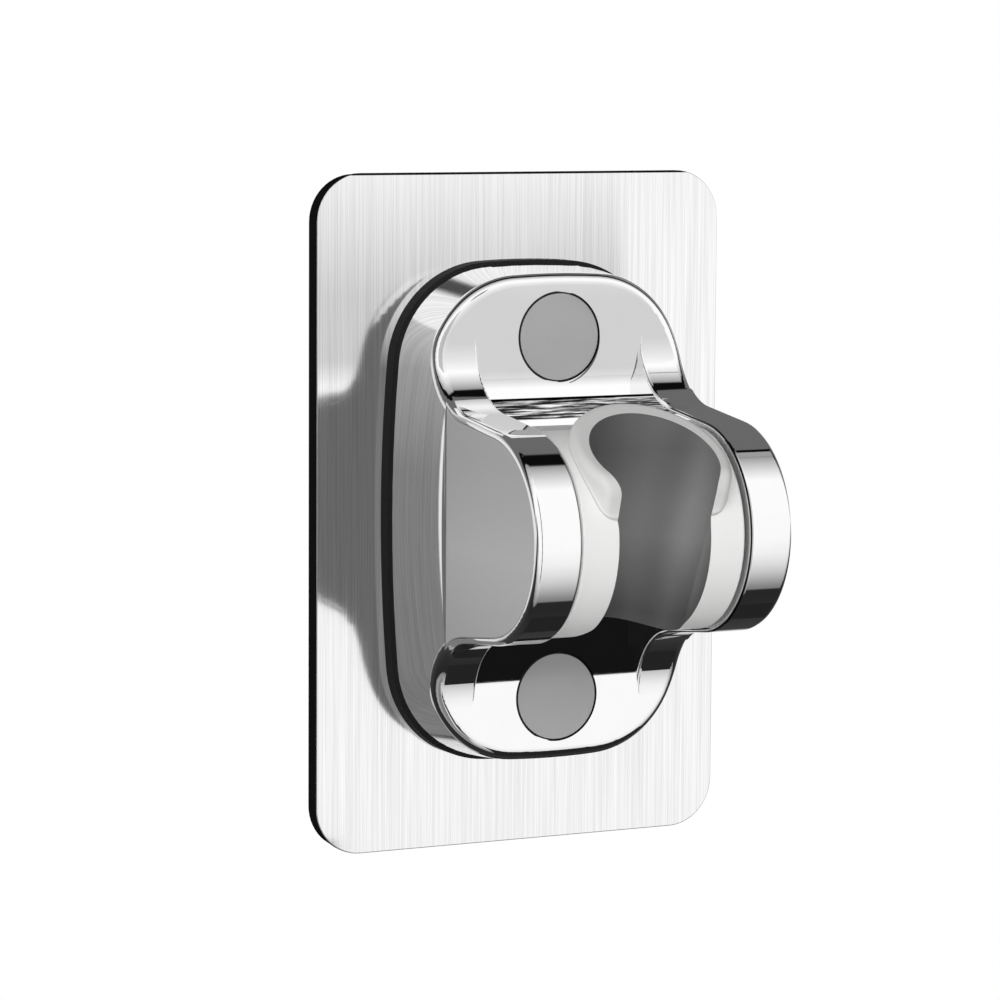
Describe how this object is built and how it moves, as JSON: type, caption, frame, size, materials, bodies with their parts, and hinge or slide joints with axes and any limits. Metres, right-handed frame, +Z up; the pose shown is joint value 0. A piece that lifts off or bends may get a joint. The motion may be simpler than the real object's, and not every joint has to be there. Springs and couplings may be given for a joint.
{
  "type": "hand shower holder",
  "caption": "Stick-on wall holder for a hand shower: a brushed steel plate, a chromed forked body and a turning slotted cradle with a tapered socket.",
  "frame": {"origin": "centre of the adhesive pad's back face, on the wall", "axes": "+Z up along the plate's height, +Y into the wall, +X to the right seen from the front"},
  "size_m": [0.08, 0.06, 0.121],
  "materials": {
    "pad": "matte foam",
    "plate_steel": "brushed along its height",
    "seal": "matte",
    "chrome": "mirror polished",
    "satin_cover": "satin grey",
    "cradle": "satin pearl grey",
    "hardware": "plain",
    "bearing": "natural"
  },
  "bodies": {
    "holder": {"adhesive_pad": "pad", "steel_plate": "plate_steel", "upper_stud": "hardware", "lower_stud": "hardware", "base_seal": "seal", "body_shell": "chrome", "upper_washer": "hardware", "lower_washer": "hardware", "upper_nut": "hardware", "lower_nut": "hardware", "upper_cap": "satin_cover", "lower_cap": "satin_cover", "left_side_cover": "satin_cover", "right_side_cover": "satin_cover", "left_bush": "bearing", "right_bush": "bearing", "left_friction_washer": "bearing", "right_friction_washer": "bearing"},
    "cradle": {"cradle_drum": "cradle", "left_pivot_screw": "hardware", "right_pivot_screw": "hardware", "left_spring_washer": "hardware", "right_spring_washer": "hardware"}
  },
  "joints": [
    {"name": "cradle_tilt", "type": "hinge", "parent": "holder", "child": "cradle", "pos_m": [0, -0.041, 0], "axis": [1, 0, 0], "range_deg": [-75, 70]}
  ]
}
